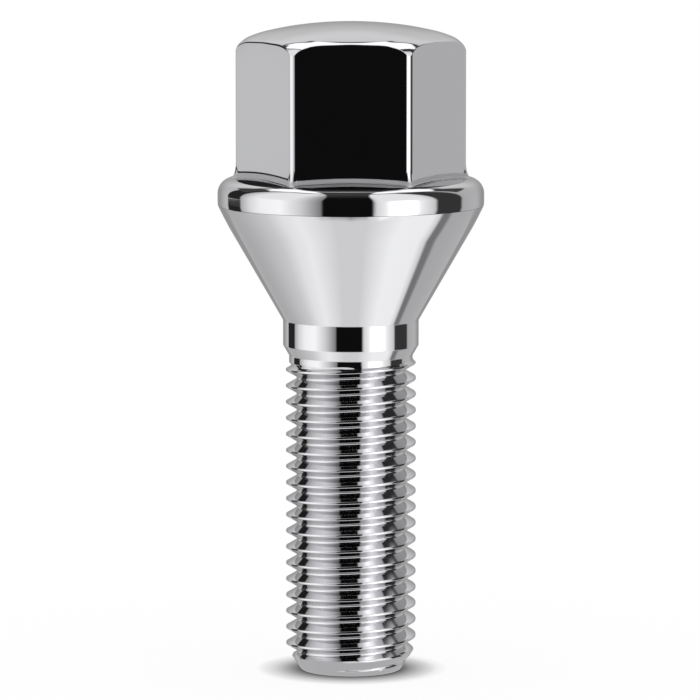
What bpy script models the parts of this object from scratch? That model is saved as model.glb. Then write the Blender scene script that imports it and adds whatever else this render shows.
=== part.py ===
"""Lug bolt: domed hexagon head, round flange, 60 degree cone seat and an M12 x 1.5 thread.

The bolt is one forged and turned piece of plated steel. It stands on the flat end of its thread:
the origin is the middle of that end, +Z runs up through the head, and one flat of the hexagon
faces -Y. Lengths are in metres.
"""

import math

import bmesh
import bpy
from mathutils import Matrix, Vector

MM = 0.001

# Thread, a right-hand M12 x 1.5. Its depth and flats are shares of the pitch, and so is the fall
# from the thread's upper end to the highest crest on the -X side.
THREAD_DIAMETER = 12.0 * MM
THREAD_PITCH = 1.5 * MM
THREAD_LENGTH = 28.9 * MM
THREAD_DEPTH_SHARE = 0.6134
CREST_FLAT_SHARE = 0.125
ROOT_FLAT_SHARE = 0.25
FIRST_CREST_SHARE = 0.64
TIP_DIAMETER = 9.5 * MM
TIP_ANGLE = math.radians(32.0)

# Neck that the rolled thread runs out into, and the smooth collar over it. The neck goes on a
# little way into the thread and then tapers, so that the grooves grow shallow as they end.
NECK_DIAMETER = 11.4 * MM
NECK_LENGTH = 0.4 * MM
NECK_INTO_THREAD = 0.25 * MM
THREAD_RUNOUT = 1.2 * MM
THREAD_END_ANGLE = math.radians(45.0)
COLLAR_DIAMETER = 12.5 * MM
COLLAR_LENGTH = 2.32 * MM
COLLAR_CHAMFER_ANGLE = math.radians(30.0)

# Cone seat and flange
SEAT_HALF_ANGLE = math.radians(30.0)
FLANGE_DIAMETER = 24.5 * MM
RIM_LENGTH = 1.3 * MM
RIM_TOP_RADIUS = 1.38 * MM
RIM_LOWER_RADIUS = 2.75 * MM
FLANGE_TOP_SLOPE = math.radians(11.0)

# Hexagon head. Its foot is a concave fillet on the flange, taller along the six corners.
ACROSS_FLATS = 18.5 * MM
CORNER_RADIUS = 0.8 * MM
OVERALL_LENGTH = 60.0 * MM
DOME_RADIUS = 35.8 * MM
SHOULDER_RADIUS = 1.57 * MM
SHOULDER_CLEARANCE = 0.03 * MM
FOOT_RADIUS = 0.5 * MM
CORNER_FOOT_HEIGHT = 1.5 * MM
CORNER_FOOT_SPREAD = 0.46 * MM
FOOT_END_ANGLE = math.radians(75.0)

# How deep one shape sinks into the next before they are joined, and the turns swept past the ends
OVERLAP = 1.0 * MM
SPARE_TURNS = 3
MERGE_DISTANCE = 0.0001 * MM
SWEEP_MERGE_DISTANCE = 0.0015 * MM
JOIN_MERGE_DISTANCE = 0.0005 * MM

# How finely round shapes are divided
TURN_STEPS = 72
THREAD_STEPS = 36
DOME_STEPS = 5
FILLET_STEPS = 5
RIM_STEPS = 3
CORNER_STEPS = 4
FLAT_STEPS = 6
FOOT_STEPS = 4
HEXAGON_SIDES = 6

SMOOTH_ANGLE = math.radians(24.0)
CHROME_COLOUR = (0.80, 0.80, 0.82, 1.0)
CHROME_ROUGHNESS = 0.08

# Radii and heights that follow from the sizes above
thread_radius = THREAD_DIAMETER / 2
root_radius = thread_radius - THREAD_DEPTH_SHARE * THREAD_PITCH
neck_radius = NECK_DIAMETER / 2
collar_radius = COLLAR_DIAMETER / 2
flange_radius = FLANGE_DIAMETER / 2
tip_radius = TIP_DIAMETER / 2
half_flats = ACROSS_FLATS / 2

neck_top = THREAD_LENGTH + NECK_LENGTH
collar_bottom = neck_top + (collar_radius - neck_radius) / math.tan(COLLAR_CHAMFER_ANGLE)
collar_top = collar_bottom + COLLAR_LENGTH
seat_top = collar_top + (flange_radius - collar_radius) / math.tan(SEAT_HALF_ANGLE)
rim_top = seat_top + RIM_LENGTH
flange_edge_radius = flange_radius - RIM_TOP_RADIUS * (1 - math.sin(FLANGE_TOP_SLOPE))
flange_edge_height = rim_top + RIM_TOP_RADIUS * math.cos(FLANGE_TOP_SLOPE)

corner_centre_radius = (half_flats - CORNER_RADIUS) / math.cos(math.pi / HEXAGON_SIDES)
corner_reach = corner_centre_radius + CORNER_RADIUS
shoulder_reach = corner_reach + SHOULDER_CLEARANCE
dome_centre_height = OVERALL_LENGTH - DOME_RADIUS
shoulder_centre_radius = shoulder_reach - SHOULDER_RADIUS
shoulder_centre_height = dome_centre_height + math.sqrt(
    (DOME_RADIUS - SHOULDER_RADIUS) ** 2 - shoulder_centre_radius ** 2
)


def clear_scene():
    for old in list(bpy.data.objects):
        bpy.data.objects.remove(old, do_unlink=True)


def chrome_plating():
    """Bright chromium plating, the one finish of the bolt."""
    material = bpy.data.materials.new("chrome_plating")
    material.use_nodes = True
    shader = material.node_tree.nodes["Principled BSDF"]
    shader.inputs["Base Color"].default_value = CHROME_COLOUR
    shader.inputs["Metallic"].default_value = 1.0
    shader.inputs["Roughness"].default_value = CHROME_ROUGHNESS
    return material


def arc(centre, radius, start, end, steps):
    """Points of an arc in the outline plane, as (distance from the axis, height) pairs."""
    across, height = centre
    angles = [start + (end - start) * step / steps for step in range(steps + 1)]
    return [(across + radius * math.cos(a), height + radius * math.sin(a)) for a in angles]


def new_object(name, mesh_data):
    item = bpy.data.objects.new(name, mesh_data)
    bpy.context.scene.collection.objects.link(item)
    return item


def closed_object(name, build):
    """An object of triangles facing outwards, from a closed bmesh, which is freed."""
    bmesh.ops.recalc_face_normals(build, faces=build.faces)
    bmesh.ops.triangulate(build, faces=build.faces)
    mesh_data = bpy.data.meshes.new(name)
    build.to_mesh(mesh_data)
    build.free()
    return new_object(name, mesh_data)


def turned(name, outline):
    """A solid turned about Z. The outline starts and ends on the axis and runs down its outer side."""
    points = [(across, 0, height) for across, height in outline]
    edges = [(i, i + 1) for i in range(len(points) - 1)]
    mesh_data = bpy.data.meshes.new(name)
    mesh_data.from_pydata(points, edges, [])
    item = new_object(name, mesh_data)
    turn = item.modifiers.new("turn", "SCREW")
    turn.steps = TURN_STEPS
    turn.render_steps = TURN_STEPS
    turn.use_merge_vertices = True
    turn.merge_threshold = MERGE_DISTANCE
    return item


def merge_close_points(mesh_data):
    """Merges the points that a join leaves almost on top of each other, and its flat triangles."""
    build = bmesh.new()
    build.from_mesh(mesh_data)
    bmesh.ops.triangulate(build, faces=build.faces)
    bmesh.ops.remove_doubles(build, verts=build.verts, dist=JOIN_MERGE_DISTANCE)
    bmesh.ops.dissolve_degenerate(build, edges=build.edges, dist=JOIN_MERGE_DISTANCE)
    bmesh.ops.triangulate(build, faces=build.faces)
    build.to_mesh(mesh_data)
    build.free()


def combine(item, tool, operation):
    """Joins or trims a shape with another, and makes the result one plain mesh."""
    step = item.modifiers.new(tool.name, "BOOLEAN")
    step.operation = operation
    step.solver = "EXACT"
    step.object = tool
    graph = bpy.context.evaluated_depsgraph_get()
    joined = bpy.data.meshes.new_from_object(item.evaluated_get(graph))
    joined.name = item.name
    merge_close_points(joined)
    item.modifiers.clear()
    item.data = joined
    bpy.data.objects.remove(tool, do_unlink=True)


def flange_height(radius):
    """Height of the sloping upper face of the flange at a distance from the axis."""
    return flange_edge_height + (flange_edge_radius - radius) * math.tan(FLANGE_TOP_SLOPE)


def shank_outline():
    """Flange, cone seat, collar and neck, from the middle of the head down into the thread."""
    rim_top_centre = (flange_radius - RIM_TOP_RADIUS, rim_top)
    cut = RIM_LOWER_RADIUS * math.tan(SEAT_HALF_ANGLE / 2)
    rim_lower_centre = (flange_radius - RIM_LOWER_RADIUS, seat_top + cut)
    steep = math.pi / 2 - FLANGE_TOP_SLOPE
    outline = [(0, flange_height(0))]
    outline += arc(rim_top_centre, RIM_TOP_RADIUS, steep, 0, FILLET_STEPS)
    outline += arc(rim_lower_centre, RIM_LOWER_RADIUS, 0, -SEAT_HALF_ANGLE, RIM_STEPS)
    outline += [
        (collar_radius, collar_top),
        (collar_radius, collar_bottom),
        (neck_radius, neck_top),
        (neck_radius, THREAD_LENGTH - NECK_INTO_THREAD),
        (tip_radius, THREAD_LENGTH - THREAD_RUNOUT),
        (0, THREAD_LENGTH - THREAD_RUNOUT),
    ]
    return outline


def head_blank_outline():
    """Dome and round shoulder of the head, which widen below to clear the foot of the hexagon."""
    shoulder_centre = (shoulder_centre_radius, shoulder_centre_height)
    meeting = math.asin((shoulder_centre_height - dome_centre_height) / (DOME_RADIUS - SHOULDER_RADIUS))
    outline = arc((0, dome_centre_height), DOME_RADIUS, math.pi / 2, meeting, DOME_STEPS)
    outline += arc(shoulder_centre, SHOULDER_RADIUS, meeting, 0, FILLET_STEPS)[1:]
    outline += [
        (flange_radius, rim_top),
        (flange_radius, seat_top - OVERLAP),
        (0, seat_top - OVERLAP),
    ]
    outline[0] = (0, OVERALL_LENGTH)
    return outline


def hexagon_points():
    """One round of the hexagon: each point's place, its outward direction and its nearness to a corner."""
    half_turn = math.pi / HEXAGON_SIDES
    points = []
    for side in range(HEXAGON_SIDES):
        corner_angle = 2 * half_turn * side
        centre = Matrix.Rotation(corner_angle, 2) @ Vector((corner_centre_radius, 0))
        for step in range(CORNER_STEPS + 1):
            share = 2 * step / CORNER_STEPS - 1
            outward = Matrix.Rotation(corner_angle + half_turn * share, 2) @ Vector((1, 0))
            points.append((centre + CORNER_RADIUS * outward, outward, 1 - abs(share)))
        start = points[-1][0]
        next_centre = Matrix.Rotation(corner_angle + 2 * half_turn, 2) @ Vector((corner_centre_radius, 0))
        end = next_centre + CORNER_RADIUS * outward
        for step in range(1, FLAT_STEPS):
            points.append((start.lerp(end, step / FLAT_STEPS), outward, 0))
    return points


def foot_row(angle):
    """One row of the concave foot where the hexagon spreads onto the flange, further at its corners."""
    row = []
    for place, outward, nearness in hexagon_points():
        height = FOOT_RADIUS + (CORNER_FOOT_HEIGHT - FOOT_RADIUS) * nearness
        spread = FOOT_RADIUS + (CORNER_FOOT_SPREAD - FOOT_RADIUS) * nearness
        foot = place + outward * spread * (1 - math.cos(angle))
        rise = height * (1 - math.sin(angle))
        row.append((foot.x, foot.y, flange_height(foot.length) + rise))
    return row


def hexagon_head():
    """Hexagon prism with rounded corners on its foot, taller than the dome that trims it."""
    rows = [[(place.x, place.y, OVERALL_LENGTH + OVERLAP) for place, _, _ in hexagon_points()]]
    rows += [foot_row(FOOT_END_ANGLE * step / FOOT_STEPS) for step in range(FOOT_STEPS + 1)]
    rows.append([(x, y, z - OVERLAP) for x, y, z in rows[-1]])
    build = bmesh.new()
    rings = [[build.verts.new(point) for point in row] for row in rows]
    count = len(rings[0])
    for upper, lower in zip(rings, rings[1:]):
        for i in range(count):
            after = (i + 1) % count
            build.faces.new((upper[i], lower[i], lower[after], upper[after]))
    build.faces.new(rings[0])
    build.faces.new(reversed(rings[-1]))
    head = closed_object("hexagon", build)
    combine(head, turned("head_blank", head_blank_outline()), "INTERSECT")
    return head


def thread_profile(start_height):
    """One pitch of the thread from the middle of a root to the middle of the next, as outline points."""
    flank = THREAD_PITCH * (1 - CREST_FLAT_SHARE - ROOT_FLAT_SHARE) / 2
    crest = THREAD_PITCH * CREST_FLAT_SHARE
    root = THREAD_PITCH * ROOT_FLAT_SHARE
    return [
        (root_radius, start_height),
        (root_radius, start_height + root),
        (thread_radius, start_height + root + flank),
        (thread_radius, start_height + root + flank + crest),
        (root_radius, start_height + THREAD_PITCH),
    ]


def thread_blank_outline():
    """Turned envelope of the thread: its run-out under the neck and the chamfer at the tip."""
    reach = thread_radius + THREAD_PITCH / 2
    top_height = THREAD_LENGTH + (neck_radius - tip_radius) * math.tan(THREAD_END_ANGLE)
    return [
        (0, top_height),
        (tip_radius, top_height),
        (reach, THREAD_LENGTH - (reach - neck_radius) * math.tan(THREAD_END_ANGLE)),
        (reach, (reach - tip_radius) / math.tan(TIP_ANGLE)),
        (tip_radius, 0),
        (0, 0),
    ]


def threaded_rod():
    """Right-hand thread, swept up its helix, cut level past both ends and trimmed to its blank.

    Its columns are turned to lie between those of the blank and the neck, so no edges coincide.
    """
    top = collar_bottom + OVERLAP
    turns = math.ceil(top / THREAD_PITCH) + 2 * SPARE_TURNS
    crest_in_profile = THREAD_PITCH * (1 + ROOT_FLAT_SHARE) / 2
    crest_on_plus_x = THREAD_LENGTH - THREAD_PITCH * (FIRST_CREST_SHARE + 1 / 2)
    start = (crest_on_plus_x - crest_in_profile) % THREAD_PITCH - SPARE_TURNS * THREAD_PITCH
    build = bmesh.new()
    points = [build.verts.new((across, 0, height)) for across, height in thread_profile(start)]
    edges = [build.edges.new(pair) for pair in zip(points, points[1:])]
    bmesh.ops.spin(
        build,
        geom=points + edges,
        axis=(0, 0, 1),
        cent=(0, 0, 0),
        angle=2 * math.pi * turns,
        steps=THREAD_STEPS * turns,
        dvec=(0, 0, THREAD_PITCH / THREAD_STEPS),
    )
    bmesh.ops.remove_doubles(build, verts=build.verts, dist=SWEEP_MERGE_DISTANCE)
    half_column = math.pi / TURN_STEPS
    rise = THREAD_PITCH * half_column / (2 * math.pi)
    bmesh.ops.rotate(build, verts=build.verts, matrix=Matrix.Rotation(half_column, 3, "Z"))
    bmesh.ops.translate(build, verts=build.verts, vec=(0, 0, rise))
    for height, side in ((-OVERLAP, -1), (top, 1)):
        cut = bmesh.ops.bisect_plane(
            build,
            geom=build.verts[:] + build.edges[:] + build.faces[:],
            dist=MERGE_DISTANCE,
            plane_co=(0, 0, height),
            plane_no=(0, 0, side),
            clear_outer=True,
        )
        rim = [item for item in cut["geom_cut"] if isinstance(item, bmesh.types.BMEdge)]
        bmesh.ops.contextual_create(build, geom=rim)
    rod = closed_object("threaded_rod", build)
    combine(rod, turned("thread_blank", thread_blank_outline()), "INTERSECT")
    return rod


def lug_bolt():
    """The whole bolt: the turned flange and neck, joined with the hexagon head and the thread."""
    bolt = turned("lug_bolt", shank_outline())
    combine(bolt, hexagon_head(), "UNION")
    combine(bolt, threaded_rod(), "UNION")
    bolt.data.materials.clear()
    bolt.data.materials.append(chrome_plating())
    bolt.data.shade_smooth()
    bolt.data.set_sharp_from_angle(angle=SMOOTH_ANGLE)
    return bolt


clear_scene()
lug_bolt()
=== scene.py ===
"""Chrome lug bolt on a pale floor: its fine mesh, its plating, the studio and the camera."""

import math

import bpy
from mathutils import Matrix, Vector


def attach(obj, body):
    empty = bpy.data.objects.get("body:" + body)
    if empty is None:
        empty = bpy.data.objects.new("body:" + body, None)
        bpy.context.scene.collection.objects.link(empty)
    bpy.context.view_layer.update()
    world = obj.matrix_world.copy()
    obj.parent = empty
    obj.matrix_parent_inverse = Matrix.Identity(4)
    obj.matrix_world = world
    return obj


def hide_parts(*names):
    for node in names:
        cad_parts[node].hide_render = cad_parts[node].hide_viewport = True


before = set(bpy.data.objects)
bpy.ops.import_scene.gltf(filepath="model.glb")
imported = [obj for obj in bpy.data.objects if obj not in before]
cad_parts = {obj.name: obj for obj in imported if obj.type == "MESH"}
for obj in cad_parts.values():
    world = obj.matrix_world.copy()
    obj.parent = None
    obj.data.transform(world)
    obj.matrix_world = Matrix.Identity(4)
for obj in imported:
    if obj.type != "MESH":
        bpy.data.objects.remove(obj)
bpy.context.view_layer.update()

MM = 0.001
DEGREE = math.pi / 180

# Thread, a right-hand M12 x 1.5, and its tip
THREAD_RADIUS = 6.0 * MM
PITCH = 1.5 * MM
THREAD_LENGTH = 28.9 * MM
FIRST_CREST_SHARE = 0.64
FLANK_ANGLE = 30 * DEGREE
CREST_FLAT_SHARE = 0.125
CREST_EDGE_ROUND = 0.09 * MM
ROOT_FLAT_SHARE = 0.13
ROOT_LEAN = 22 * DEGREE
TIP_RADIUS = 4.75 * MM
TIP_ANGLE = 32 * DEGREE
TIP_ROUND = 0.15 * MM
TIP_PLAIN = 0.5 * MM
TIP_DEEPENING = 1.1

# Neck and collar
NECK_RADIUS = 5.7 * MM
NECK_LENGTH = 0.4 * MM
NECK_INTO_THREAD = 0.25 * MM
THREAD_RUNOUT = 1.2 * MM
COLLAR_RADIUS = 6.25 * MM
COLLAR_LENGTH = 2.32 * MM
COLLAR_CHAMFER_ANGLE = 30 * DEGREE
CREASE_ROUND = 0.1 * MM

# Cone seat and flange
SEAT_ANGLE = 30 * DEGREE
FLANGE_RADIUS = 12.25 * MM
RIM_LENGTH = 1.3 * MM
RIM_TOP_ROUND = 1.38 * MM
RIM_LOWER_ROUND = 3.2 * MM
RIM_LOWER_LEAN = 7 * DEGREE
SEAT_EDGE_HEIGHT = 0.21 * MM
SEAT_EDGE_LEAN = 25 * DEGREE
SEAT_GROOVE = 0.06 * MM
FLANGE_SLOPE = 11 * DEGREE

# Hexagon head, and its foot on the flange
HEXAGON_SIDES = 6
SIXTH = 60 * DEGREE
HALF_FLATS = 9.25 * MM
CORNER_ROUND = 0.8 * MM
BOLT_LENGTH = 60.0 * MM
TOP_EDGE_ROUND = 0.2 * MM
FOOT_ROUND = 0.52 * MM
CORNER_FOOT_HEIGHT = 1.5 * MM
CORNER_FOOT_SPREAD = 0.46 * MM
CORNER_FOOT_REACH = 3.4 * DEGREE

# Crown of the head: arcs from the middle out, each as (radius in mm, tilt at its end in degrees).
# It is lower over the flats than at the corners, and ends there in a narrow chamfer.
CORNER_CROWN = [(35.8, 12.3), (9.2, 24), (1.9, 40), (20.0, 41.07), (1.3, 90)]
FLAT_CROWN = [(35.8, 8.8), (14.0, 23.8), (0.5, 34), (30.0, 39)]
PRESSED_REACH = 26 * DEGREE
DOME_END = 5.4 * MM
CHAMFER_START = 8.97 * MM
CHAMFER_END = 9.08 * MM
SMALL_STEP = 0.0001 * MM
HALVINGS = 40

# Radii and heights that follow
neck_top = THREAD_LENGTH + NECK_LENGTH
collar_bottom = neck_top + (COLLAR_RADIUS - NECK_RADIUS) / math.tan(COLLAR_CHAMFER_ANGLE)
collar_top = collar_bottom + COLLAR_LENGTH
seat_top = collar_top + (FLANGE_RADIUS - COLLAR_RADIUS) / math.tan(SEAT_ANGLE)
rim_top = seat_top + RIM_LENGTH
slope_start = FLANGE_RADIUS - RIM_TOP_ROUND * (1 - math.sin(FLANGE_SLOPE))
slope_start_height = rim_top + RIM_TOP_ROUND * math.cos(FLANGE_SLOPE)
corner_centre = (HALF_FLATS - CORNER_ROUND) / math.cos(SIXTH / 2)
corner_spread = math.atan2(
    CORNER_ROUND * math.sin(SIXTH / 2), corner_centre + CORNER_ROUND * math.cos(SIXTH / 2)
)

# Rows and columns of the bolt's mesh
CORNER_COLUMNS = 4
FLAT_COLUMNS = 10
FLAT_CROWDING = 1.6
DOME_ROWS = 12
EDGE_ROWS = 12
WALL_ROWS = 6
FOOT_ROWS = 9
SLOPE_ROWS = 4
ROUND_ROWS = 12
SMALL_ROUND_ROWS = 4
SEAT_ROWS = 10
CREST_ROWS = 4
FLANK_ROWS = 4
HOLDING_STEP = 0.02 * MM
WIDEST_HOLD = 1 / 4
SPARE_TURNS = 3
MERGE_DISTANCE = 0.0001 * MM
SMOOTH_ANGLE = 40 * DEGREE
PIECE = "lug_bolt_chrome"
NODE = "lug_bolt"

# Plating. Its noise is a faint cloud in the polish and a finer ripple of the surface, and the
# hollow round the head's foot is duller between these heights over the flange.
CHROME_COLOUR = (0.62, 0.62, 0.635, 1)
CHROME_ROUGHNESS = 0.02
CLOUD_ROUGHNESS = 0.03
CLOUD_NOISE = {"Scale": 420.0, "Detail": 3.0}
RIPPLE_NOISE = {"Scale": 900.0, "Detail": 2.0}
RIPPLE_STRENGTH = 0.02
RIPPLE_HEIGHT = 0.02 * MM
HOLLOW_START = (0.01 * MM, 0.05 * MM)
HOLLOW_END = (0.34 * MM, 0.42 * MM)
HOLLOW_ROUGHNESS = 0.55

# Studio. Each ring lists what the studio holds round the bolt, by its bearing from the camera in
# degrees. The rings of cards hold brightness, and those of edges and bands hold heights as shares
# of a right angle. Spans are in degrees.
WALL_CARDS = [
    (-180, 0.42), (-142, 0.45), (-128, 0.54), (-116, 0.53), (-112, 0.36), (-98, 0.73), (-85, 0.93),
    (-64, 1.01), (-44, 0.65), (-26, 0.21), (-23, 0.004), (18, 0.004), (22, 0.70), (30, 0.90),
    (36, 1.30), (44, 1.80), (56, 1.40), (63, 0.92), (78, 0.60), (81, 0.035), (110, 0.035),
    (113, 0.40), (125, 0.43), (180, 0.42),
]
GROUND_CARDS = [
    (-180, 0.40), (-140, 0.40), (-126, 0.45), (-98, 0.61), (-80, 0.80), (-62, 0.88), (-20, 0.65),
    (20, 0.65), (62, 0.92), (94, 0.90), (102, 0.66), (105, 0.18), (112, 0.18), (116, 0.40),
    (180, 0.42),
]
CEILING_EDGE = [
    (-180, 0.56), (-150, 0.50), (-134, 0.44), (-126, 0.52), (-116, 0.61), (-104, 0.69), (-60, 0.79),
    (-20, 0.83), (20, 0.83), (60, 0.79), (102, 0.72), (115, 0.60), (122, 0.50), (150, 0.50),
    (180, 0.56),
]
LOW_BAND = [
    (-180, 0.10), (-125, 0.22), (-95, 0.36), (-70, 0.46), (-35, 0.55), (0, 0.572), (35, 0.55),
    (70, 0.46), (95, 0.36), (125, 0.22), (180, 0.10),
]
STEEP_EDGE = [
    (-180, 0.25), (-150, 0.32), (-123, 0.45), (-97, 0.605), (-70, 0.70), (-30, 0.76), (30, 0.76),
    (70, 0.70), (97, 0.605), (123, 0.45), (150, 0.32), (180, 0.25),
]
RIGHT_ANGLE = 90
FULL_TURN = 360
WALL_DIMMING = (8, 22)
HIGH_WALL_LEVEL = 0.82
CEILING_LEVEL = 1.08
CEILING_FADE = (0, 4)
CEILING_GAP = 0.05
GAP_SPAN = (-1, 3.5)
GROUND_FALL = (19.5, 21)
BAND_SPAN = (-4.5, 4.5)
STEEP_LEVEL = 0.43
STEEP_FADE = (0, 3)
CARD_EDGE = 1.5

# The back wall is darker at its foot, and a dark card hangs high at each side of it
BACK_WALL = (136, 160)
BACK_FOOT = 0.58
BACK_RISE = 0.87
BACK_FADE = (-2, 38)
HIGH_CARDS = (118, 142)
HIGH_CARD_HEIGHTS = (28, 50)
HIGH_CARD_LEVEL = 0.05

# Two cards at the left, one over the other, leave a slit
LEFT_CARDS = [(-60, -5.0), (-3.2, 50)]
LEFT_CARD_BEARINGS = (-133, -111)
LEFT_CARD_LEVEL = 0.018
SLIT_EDGE = 0.08

# The card behind the camera narrows and fades upwards, and ends past the zenith
FRONT_CARD = (-24, 18)
FRONT_CARD_LEANS = (-20.3, 98)
FRONT_NARROWING = (15, 85)
FRONT_TAPER = 0.7
FRONT_FADE = (36, 84)
FRONT_LEVEL = 0.004
FRONT_TOP_LEVEL = 0.045

# How bright the studio is to the chrome, to what the chrome throws on the floor, and to dull things
MIRROR_LEVEL = 1.48
CHROME_BOUNCE = 0.3
DIFFUSE_LEVEL = 0.75
LAMP_LEVEL = 0.25
LAMP_ANGLE = 70 * DEGREE

# Floor. It shows as white to the camera, with a painted shadow close to the bolt
FLOOR_SIZE = 40
FLOOR_SHIFT = 5
FLOOR_COLOUR = (0.99, 0.99, 0.99, 1)
SEEN_WHITE = 0.9
SHADOW_REACH = 3.7 * MM
SHADOW_DEPTH = 1.7

# Camera
CAMERA_PLACE = (0, -0.477, 0.086)
CAMERA_TARGET = (-0.00008, 0, 0.02973)
CAMERA_LENS = 267.9
SENSOR_WIDTH = 36
CLIP_START = 0.01
CLIP_END = 100


def spread(start, end, count):
    """Values from start to end, both included."""
    return [start + (end - start) * step / (count - 1) for step in range(count)]


def arc(centre, radius, start, end, count):
    """Points of an arc, as (distance from the axis, height). Angles are tilts from straight up."""
    return [(centre[0] + radius * math.sin(a), centre[1] + radius * math.cos(a))
            for a in spread(start, end, count)]


def line(start, end, count):
    """Points of a straight stretch between its ends, with one close to each of them."""
    length = math.dist(start, end)
    hold = min(HOLDING_STEP / length, WIDEST_HOLD)
    return [(start[0] + (end[0] - start[0]) * share, start[1] + (end[1] - start[1]) * share)
            for share in spread(hold, 1 - hold, count)]


def column_azimuths():
    """Azimuths of the mesh's columns over one turn, crowded at the hexagon's corners."""
    inner = spread(0, corner_spread, CORNER_COLUMNS + 1)
    outer = [corner_spread + (SIXTH / 2 - corner_spread) * (step / FLAT_COLUMNS) ** FLAT_CROWDING
             for step in range(1, FLAT_COLUMNS + 1)]
    half = inner + outer
    sixth = half + [SIXTH - azimuth for azimuth in reversed(half[1:-1])]
    return [SIXTH * side + azimuth for side in range(HEXAGON_SIDES) for azimuth in sixth]


def from_corner(azimuth):
    """Angle to the nearest corner of the hexagon."""
    return abs((azimuth + SIXTH / 2) % SIXTH - SIXTH / 2)


def wall_radius(azimuth):
    """Distance from the axis to the hexagon's rounded wall."""
    away = from_corner(azimuth)
    if away > corner_spread:
        return HALF_FLATS / math.cos(SIXTH / 2 - away)
    return corner_centre * math.cos(away) + math.sqrt(
        CORNER_ROUND ** 2 - (corner_centre * math.sin(away)) ** 2
    )


def slope_height(radius):
    """Height of the flange's sloping upper face at a distance from the axis."""
    return slope_start_height + (slope_start - radius) * math.tan(FLANGE_SLOPE)


def arc_height(arcs, across):
    """Height of a row of arcs at a distance from the axis. Each goes on from the last."""
    centre, height, last_radius, tilt = 0, BOLT_LENGTH, 0, 0
    for size, degrees in arcs:
        radius = size * MM
        centre += (last_radius - radius) * math.sin(tilt)
        height += (last_radius - radius) * math.cos(tilt)
        last_radius, tilt = radius, degrees * DEGREE
        if across <= centre + radius * math.sin(tilt):
            break
    return height + math.sqrt(radius ** 2 - (across - centre) ** 2)


def crown_height(across, pressed):
    """Height of the crown, which is pressed down from its corner shape towards that over the flats."""
    full = arc_height(CORNER_CROWN, across)
    return full + (arc_height(FLAT_CROWN, across) - full) * pressed


def crown_slope(across, pressed):
    """Tilt of the crown from level at a distance from the axis."""
    fall = crown_height(across - SMALL_STEP, pressed) - crown_height(across, pressed)
    return math.atan2(fall, SMALL_STEP)


def crown_end(wall, pressed):
    """How far out the crown meets the rounding over the wall, found by halving."""
    inner = wall - TOP_EDGE_ROUND
    low, high = inner, wall
    for _ in range(HALVINGS):
        across = (low + high) / 2
        if across - TOP_EDGE_ROUND * math.sin(crown_slope(across, pressed)) < inner:
            low = across
        else:
            high = across
    return low


def head_section(azimuth):
    """The head's outline at an azimuth, from near the middle of the dome down to the wall's foot."""
    wall = wall_radius(azimuth)
    away = from_corner(azimuth)
    pressed = 1 - max(0, 1 - (away / PRESSED_REACH) ** 2) ** 2
    end = crown_end(wall, pressed)
    slope = crown_slope(end, pressed)
    centre = (wall - TOP_EDGE_ROUND, crown_height(end, pressed) - TOP_EDGE_ROUND * math.cos(slope))
    steps = spread(0, DOME_END, DOME_ROWS)[1:]
    steps += spread(DOME_END, CHAMFER_START, EDGE_ROWS)[1:]
    steps += spread(CHAMFER_START, CHAMFER_END, SMALL_ROUND_ROWS)[1:]
    steps += spread(CHAMFER_END, end, EDGE_ROWS)[1:-1]
    rows = [(across, crown_height(across, pressed)) for across in steps]
    rows += arc(centre, TOP_EDGE_ROUND, slope, math.pi / 2, ROUND_ROWS)
    nearness = max(0, 1 - (away / CORNER_FOOT_REACH) ** 2) ** 2
    rise = FOOT_ROUND + (CORNER_FOOT_HEIGHT - FOOT_ROUND) * nearness
    out = FOOT_ROUND + (CORNER_FOOT_SPREAD - FOOT_ROUND) * nearness
    foot = []
    for turn in spread(0, math.pi / 2, FOOT_ROWS):
        radius = wall + out * (1 - math.cos(turn))
        foot.append((radius, slope_height(radius) + rise * (1 - math.sin(turn))))
    return rows + line(rows[-1], foot[0], WALL_ROWS) + foot


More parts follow.
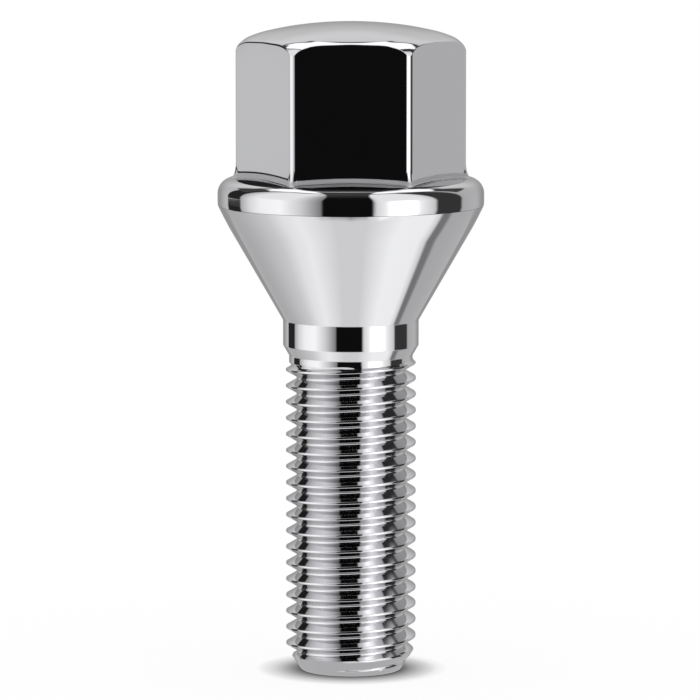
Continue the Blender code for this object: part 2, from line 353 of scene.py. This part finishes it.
def shank_section(foot):
    """The turned outline under the head, from the foot of its wall to the neck's lower end."""
    level = math.pi / 2
    rim = (FLANGE_RADIUS - RIM_TOP_ROUND, rim_top)
    groove_top = seat_top + SEAT_EDGE_HEIGHT + SEAT_GROOVE / 2
    lower = (FLANGE_RADIUS - RIM_LOWER_ROUND, groove_top + RIM_LOWER_ROUND * math.sin(RIM_LOWER_LEAN))
    rows = line(foot, (slope_start, slope_start_height), SLOPE_ROWS)
    rows += arc(rim, RIM_TOP_ROUND, FLANGE_SLOPE, level, ROUND_ROWS)
    rows += line(rows[-1], (FLANGE_RADIUS, lower[1]), SMALL_ROUND_ROWS)
    rows += arc(lower, RIM_LOWER_ROUND, level, level + RIM_LOWER_LEAN, SMALL_ROUND_ROWS)
    edge, height = rows[-1]
    groove_bottom = (edge - SEAT_GROOVE / 4, height - SEAT_GROOVE)
    rows.append((edge - SEAT_GROOVE, height - SEAT_GROOVE / 2))
    # Under the groove the seat swells in one arc, which ends along the straight cone
    short = groove_bottom[0] - FLANGE_RADIUS + (seat_top - groove_bottom[1]) * math.tan(SEAT_ANGLE)
    swell = short / (math.cos(SEAT_EDGE_LEAN) - math.cos(SEAT_ANGLE) - math.tan(SEAT_ANGLE) * (
        math.sin(SEAT_ANGLE) - math.sin(SEAT_EDGE_LEAN)))
    upper_seat = (groove_bottom[0] - swell * math.cos(SEAT_EDGE_LEAN),
                  groove_bottom[1] + swell * math.sin(SEAT_EDGE_LEAN))
    rows += arc(upper_seat, swell, level + SEAT_EDGE_LEAN, level + SEAT_ANGLE, ROUND_ROWS)
    step = CREASE_ROUND * math.tan(SEAT_ANGLE / 2)
    inner = (COLLAR_RADIUS + CREASE_ROUND, collar_top - step)
    seat_end = arc(inner, -CREASE_ROUND, level + SEAT_ANGLE, level, SMALL_ROUND_ROWS)
    rows += line(rows[-1], seat_end[0], SEAT_ROWS) + seat_end
    chamfer_step = CREASE_ROUND * math.tan(COLLAR_CHAMFER_ANGLE / 2)
    edge = (COLLAR_RADIUS - CREASE_ROUND, collar_bottom + chamfer_step)
    collar_end = arc(edge, CREASE_ROUND, level, level + COLLAR_CHAMFER_ANGLE, SMALL_ROUND_ROWS)
    rows += line(rows[-1], collar_end[0], SMALL_ROUND_ROWS) + collar_end
    hollow = (NECK_RADIUS + CREASE_ROUND, neck_top - chamfer_step)
    neck_start = arc(hollow, -CREASE_ROUND, level + COLLAR_CHAMFER_ANGLE, level, SMALL_ROUND_ROWS)
    rows += line(rows[-1], neck_start[0], SMALL_ROUND_ROWS) + neck_start
    return rows


def thread_profile():
    """One pitch of the thread from a crest to the next, as (height, radius), with straight flanks."""
    side = math.pi / 2 - FLANK_ANGLE
    half_crest = CREST_FLAT_SHARE * PITCH / 2
    half_root = ROOT_FLAT_SHARE * PITCH / 2
    depth = (PITCH / 2 - half_crest - half_root) / math.tan(FLANK_ANGLE)
    edge = half_crest - CREST_EDGE_ROUND * math.tan(side / 2)
    upper = [(edge + CREST_EDGE_ROUND * math.sin(turn),
              THREAD_RADIUS - CREST_EDGE_ROUND * (1 - math.cos(turn)))
             for turn in spread(0, side, CREST_ROWS)]
    crest = [(-rise, radius) for rise, radius in reversed(upper)] + upper
    hollow = half_root / math.sin(ROOT_LEAN)
    centre = THREAD_RADIUS - depth + hollow * math.cos(ROOT_LEAN)
    root = [(PITCH / 2 + hollow * math.sin(turn), centre - hollow * math.cos(turn))
            for turn in spread(-ROOT_LEAN, ROOT_LEAN, CREST_ROWS)]
    next_crest = (crest[0][0] + PITCH, crest[0][1])
    return crest + line(crest[-1], root[0], FLANK_ROWS) + root + line(root[-1], next_crest, FLANK_ROWS)


def trimmed(radius, height):
    """The thread's radius at a height, within its run-out under the neck and the tip's chamfer."""
    runout = THREAD_LENGTH - THREAD_RUNOUT
    taper = (height - runout) / (THREAD_RUNOUT - NECK_INTO_THREAD)
    groove = TIP_RADIUS + (NECK_RADIUS - TIP_RADIUS) * min(max(taper, 0), 1)
    crest = NECK_RADIUS + max(THREAD_LENGTH - height, 0)
    chamfer = TIP_RADIUS + (height - TIP_ROUND) * math.tan(TIP_ANGLE)
    filled = chamfer - max(height - TIP_PLAIN, 0) * TIP_DEEPENING
    return min(max(radius, groove, filled), crest, chamfer)


def tip_edge():
    """The rounding between the tip's chamfer and its flat end."""
    side = math.pi / 2 + TIP_ANGLE
    radius = TIP_ROUND / (1 + math.cos(side))
    centre = (TIP_RADIUS - radius * math.sin(side), radius)
    return arc(centre, radius, side, math.pi, SMALL_ROUND_ROWS)


def bolt_mesh():
    """One closed mesh: level rows down to the neck, the thread's on its helix, and the tip's."""
    azimuths = column_azimuths()
    count = len(azimuths)
    points = [(0, 0, BOLT_LENGTH)]
    faces = []

    def place(azimuth, radius, height):
        points.append((radius * math.cos(azimuth), radius * math.sin(azimuth), height))
        return len(points) - 1

    columns = []
    for azimuth in azimuths:
        head = head_section(azimuth)
        section = head + shank_section(head[-1])
        columns.append([place(azimuth, *point) for point in section])
    profile = thread_profile()
    per_turn = len(profile)
    highest = neck_top - HOLDING_STEP
    turns = math.ceil(highest / PITCH) + 2 * SPARE_TURNS
    crest = THREAD_LENGTH - PITCH * (FIRST_CREST_SHARE + 1 / 2)
    start = crest % PITCH - SPARE_TURNS * PITCH
    helix = []
    for azimuth in azimuths:
        column = []
        for turn in range(turns):
            for rise, radius in profile:
                height = start + PITCH * (turn + azimuth / math.tau) + rise
                height = min(max(height, TIP_ROUND), highest)
                column.append(place(azimuth, trimmed(radius, height), height))
        helix.append(column)
    for i in range(count):
        after = (i + 1) % count
        shift = per_turn if after == 0 else 0
        faces.append((0, columns[i][0], columns[after][0]))
        for upper in range(len(columns[i]) - 1):
            faces.append((columns[i][upper], columns[i][upper + 1],
                          columns[after][upper + 1], columns[after][upper]))
        faces.append((columns[i][-1], helix[i][-1], helix[after][-1], columns[after][-1]))
        for low in range(len(helix[i]) - 1 - shift):
            faces.append((helix[i][low], helix[after][low + shift],
                          helix[after][low + 1 + shift], helix[i][low + 1]))
    tip = []
    for azimuth in azimuths:
        tip.append([place(azimuth, *point) for point in tip_edge()[1:]])
    points.append((0, 0, 0))
    middle = len(points) - 1
    for i in range(count):
        after = (i + 1) % count
        faces.append((helix[i][0], tip[i][0], tip[after][0], helix[after][0]))
        for row in range(len(tip[i]) - 1):
            faces.append((tip[i][row], tip[i][row + 1], tip[after][row + 1], tip[after][row]))
        faces.append((tip[i][-1], middle, tip[after][-1]))
    mesh = bpy.data.meshes.new(PIECE)
    mesh.from_pydata(points, [], faces)
    return mesh


def lug_bolt():
    """The bolt as one closed piece, its rows laid along its creases so that chrome reflects cleanly."""
    mesh = bolt_mesh()
    piece = bpy.data.objects.new(PIECE, mesh)
    bpy.context.collection.objects.link(piece)
    bpy.ops.object.select_all(action="DESELECT")
    piece.select_set(True)
    bpy.context.view_layer.objects.active = piece
    bpy.ops.object.mode_set(mode="EDIT")
    bpy.ops.mesh.select_all(action="SELECT")
    bpy.ops.mesh.remove_doubles(threshold=MERGE_DISTANCE)
    bpy.ops.mesh.dissolve_degenerate(threshold=MERGE_DISTANCE)
    bpy.ops.mesh.normals_make_consistent(inside=False)
    bpy.ops.object.mode_set(mode="OBJECT")
    bpy.ops.object.shade_smooth_by_angle(angle=SMOOTH_ANGLE)
    return piece


class Value:
    """A shader socket that takes part in Python expressions."""

    def __init__(self, maker, socket):
        self.maker = maker
        self.socket = socket

    def maths(self, operation, *others):
        return self.maker.node("ShaderNodeMath", {"operation": operation}, [self, *others]).out()

    def __add__(self, other):
        return self.maths("ADD", other)

    def __radd__(self, other):
        return self.maths("ADD", other)

    def __sub__(self, other):
        return self.maths("SUBTRACT", other)

    def __rsub__(self, other):
        return self.maker.node("ShaderNodeMath", {"operation": "SUBTRACT"}, [other, self]).out()

    def __mul__(self, other):
        return self.maths("MULTIPLY", other)

    def __rmul__(self, other):
        return self.maths("MULTIPLY", other)

    def __truediv__(self, other):
        return self.maths("DIVIDE", other)


class Made:
    """A node that has been made, with its outputs as values."""

    def __init__(self, maker, node):
        self.maker = maker
        self.node = node

    def out(self, which=0):
        return Value(self.maker, self.node.outputs[which])


class NodeMaker:
    """Adds nodes to one tree."""

    def __init__(self, tree):
        self.tree = tree
        tree.nodes.clear()

    def node(self, kind, settings=None, inputs=None):
        """A node of a type, with its settings first and then the values or links of its sockets."""
        made = self.tree.nodes.new(kind)
        for name, setting in (settings or {}).items():
            if name == "stops":
                self.set_stops(made.color_ramp, setting)
            else:
                setattr(made, name, setting)
        pairs = inputs.items() if isinstance(inputs, dict) else enumerate(inputs or [])
        for key, given in pairs:
            if isinstance(given, Value):
                self.tree.links.new(given.socket, made.inputs[key])
            else:
                made.inputs[key].default_value = given
        return Made(self, made)

    def between(self, low, high, value):
        """A soft step from 0 at low to 1 at high."""
        settings = {"interpolation_type": "SMOOTHSTEP"}
        sockets = {"Value": value, "From Min": low, "From Max": high}
        return self.node("ShaderNodeMapRange", settings, sockets).out()

    def set_stops(self, ramp, stops):
        """Grey stops of a ramp, as (position, level)."""
        while len(ramp.elements) < len(stops):
            ramp.elements.new(1)
        for element, (position, grey) in zip(ramp.elements, stops):
            element.position = position
            element.color = (grey, grey, grey, 1)


def chrome_plating():
    """Bright chrome over the steel, faintly uneven, and duller in the hollow round the head's foot."""
    material = bpy.data.materials.new("chrome_plating")
    material.use_nodes = True
    maker = NodeMaker(material.node_tree)
    place = maker.node("ShaderNodeTexCoord").out("Object")
    cloud = maker.node("ShaderNodeTexNoise", {}, {"Vector": place, **CLOUD_NOISE}).out()
    parts = maker.node("ShaderNodeSeparateXYZ", {}, {"Vector": place})
    x, y, z = parts.out(0), parts.out(1), parts.out(2)
    radius = (x * x + y * y).maths("SQRT")
    above = z - slope_height(radius)
    hollow = maker.between(*HOLLOW_START, above) * (1 - maker.between(*HOLLOW_END, above))
    roughness = CHROME_ROUGHNESS + cloud * CLOUD_ROUGHNESS + hollow * HOLLOW_ROUGHNESS
    ripple = maker.node("ShaderNodeTexNoise", {}, {"Vector": place, **RIPPLE_NOISE}).out()
    bump = maker.node("ShaderNodeBump", {}, {
        "Strength": RIPPLE_STRENGTH,
        "Distance": RIPPLE_HEIGHT,
        "Height": ripple,
    }).out()
    surface = maker.node("ShaderNodeBsdfPrincipled", {}, {
        "Base Color": CHROME_COLOUR,
        "Metallic": 1.0,
        "Roughness": roughness,
        "Normal": bump,
    }).out()
    maker.node("ShaderNodeOutputMaterial", {}, {"Surface": surface})
    return material


def floor():
    """The pale floor. To the camera it glows white with a painted shadow round the bolt, taken from an
    occlusion term, and its small diffuse share keeps the real shadow.

    It lies off the middle, so that the seam between its two triangles doesn't cross the picture.
    """
    bpy.ops.mesh.primitive_plane_add(size=FLOOR_SIZE, location=(FLOOR_SHIFT, 0, 0))
    plane = bpy.context.object
    plane.name = "floor"
    bpy.ops.object.select_all(action="DESELECT")
    plane.select_set(True)
    bpy.ops.object.transform_apply(location=True)
    material = bpy.data.materials.new("floor_white")
    material.use_nodes = True
    maker = NodeMaker(material.node_tree)
    pale = maker.node("ShaderNodeBsdfDiffuse", {}, {"Color": FLOOR_COLOUR}).out()
    # Painted shadow: the occlusion term darkens the floor's white glow near the bolt
    open_share = maker.node("ShaderNodeAmbientOcclusion", {}, {"Distance": SHADOW_REACH}).out("AO")
    painted_shadow = open_share.maths("POWER", SHADOW_DEPTH)
    white = maker.node("ShaderNodeEmission", {}, {"Color": painted_shadow, "Strength": 1.0}).out()
    seen = maker.node("ShaderNodeLightPath").out("Is Camera Ray")
    surface = maker.node("ShaderNodeMixShader", {}, [seen * SEEN_WHITE, pale, white]).out()
    maker.node("ShaderNodeOutputMaterial", {}, {"Surface": surface})
    plane.data.materials.append(material)
    plane.visible_glossy = False
    return plane


def studio():
    """The studio that the chrome mirrors: white walls and ceiling with dark and grey cards."""
    world = bpy.data.worlds.new("studio")
    bpy.context.scene.world = world
    world.use_nodes = True
    maker = NodeMaker(world.node_tree)
    towards = maker.node("ShaderNodeTexCoord").out("Generated")
    parts = maker.node("ShaderNodeSeparateXYZ", {}, {"Vector": towards})
    across, along, up = parts.out(0), parts.out(1), parts.out(2)
    turn = across.maths("ARCTAN2", along * -1) / DEGREE
    rise = up.maths("ARCSINE") / DEGREE
    between = maker.between

    def ring(stops):
        """What a ring holds at the bearing that is looked at."""
        ramp = [(bearing / FULL_TURN + 1 / 2, held) for bearing, held in stops]
        share = turn / FULL_TURN + 1 / 2
        return maker.node("ShaderNodeValToRGB", {"stops": ramp}, {"Fac": share}).out()

    def inside(span, value, edge=CARD_EDGE):
        """1 where a value lies within a span, with soft ends."""
        low, high = span
        return between(low - edge, low + edge, value) * (1 - between(high - edge, high + edge, value))

    def hung(around, level, card):
        """What is around, with a card of some brightness hung before it."""
        return around * (1 - card) + card * level

    sideways = turn.maths("ABSOLUTE")
    back = between(*BACK_WALL, sideways)
    walls = ring(WALL_CARDS) * hung(1.0, BACK_FOOT + between(*BACK_FADE, rise) * BACK_RISE, back)
    for heights in LEFT_CARDS:
        card = inside(LEFT_CARD_BEARINGS, turn) * inside(heights, rise, SLIT_EDGE)
        walls = hung(walls, LEFT_CARD_LEVEL, card)
    above = rise - ring(CEILING_EDGE) * RIGHT_ANGLE
    room = hung(walls, walls.maths("MINIMUM", HIGH_WALL_LEVEL), between(*WALL_DIMMING, rise))
    room = hung(room, CEILING_LEVEL, between(*CEILING_FADE, above))
    room = hung(room, CEILING_GAP, inside(GAP_SPAN, above))
    room = hung(room, HIGH_CARD_LEVEL, inside(HIGH_CARDS, sideways) * inside(HIGH_CARD_HEIGHTS, rise))
    down = rise * -1
    steep = between(*STEEP_FADE, down - ring(STEEP_EDGE) * RIGHT_ANGLE)
    ground = hung(ring(GROUND_CARDS), STEEP_LEVEL, steep)
    room = hung(room, ground, between(*GROUND_FALL, down))
    room = hung(room, walls, inside(BAND_SPAN, down - ring(LOW_BAND) * RIGHT_ANGLE))
    lean = up.maths("ARCTAN2", along * -1) / DEGREE
    side = across.maths("ARCSINE") / DEGREE * (1 + between(*FRONT_NARROWING, lean) * FRONT_TAPER)
    front = FRONT_LEVEL + between(*FRONT_FADE, lean) * FRONT_TOP_LEVEL
    room = hung(room, front, inside(FRONT_CARD, side) * inside(FRONT_CARD_LEANS, lean))
    mirrored = room * MIRROR_LEVEL
    path = maker.node("ShaderNodeLightPath")
    glossy, bounced = path.out("Is Glossy Ray"), path.out("Diffuse Depth")
    seen = path.out("Is Camera Ray").maths("MAXIMUM", path.out("Is Transmission Ray"))
    bounce = 1 - bounced.maths("GREATER_THAN", 0.5) * (1 - CHROME_BOUNCE)
    level = glossy * mirrored * bounce + (1 - glossy) * (seen + (1 - seen) * DIFFUSE_LEVEL)
    background = maker.node("ShaderNodeBackground", {}, {"Color": level, "Strength": 1.0}).out()
    maker.node("ShaderNodeOutputWorld", {}, {"Surface": background})


def overhead_light():
    """A large soft light from above, which the chrome doesn't mirror."""
    bpy.ops.object.light_add(type="SUN", location=(0, 0, 1))
    lamp = bpy.context.object
    lamp.name = "overhead_softbox"
    lamp.data.angle = LAMP_ANGLE
    lamp.data.energy = math.pi * LAMP_LEVEL
    lamp.visible_glossy = False


def camera():
    """The camera, at the photograph's viewing angle and frame."""
    bpy.ops.object.camera_add(location=CAMERA_PLACE)
    eye = bpy.context.object
    eye.data.lens = CAMERA_LENS
    eye.data.sensor_width = SENSOR_WIDTH
    eye.data.clip_start = CLIP_START
    eye.data.clip_end = CLIP_END
    look = Vector(CAMERA_TARGET) - Vector(CAMERA_PLACE)
    eye.rotation_euler = look.to_track_quat("-Z", "Y").to_euler()
    bpy.context.scene.camera = eye


bolt = lug_bolt()
bolt.data.materials.append(chrome_plating())
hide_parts(NODE)
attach(bolt, "root")

floor()
studio()
overhead_light()
camera()

bpy.context.scene.view_settings.view_transform = "Standard"
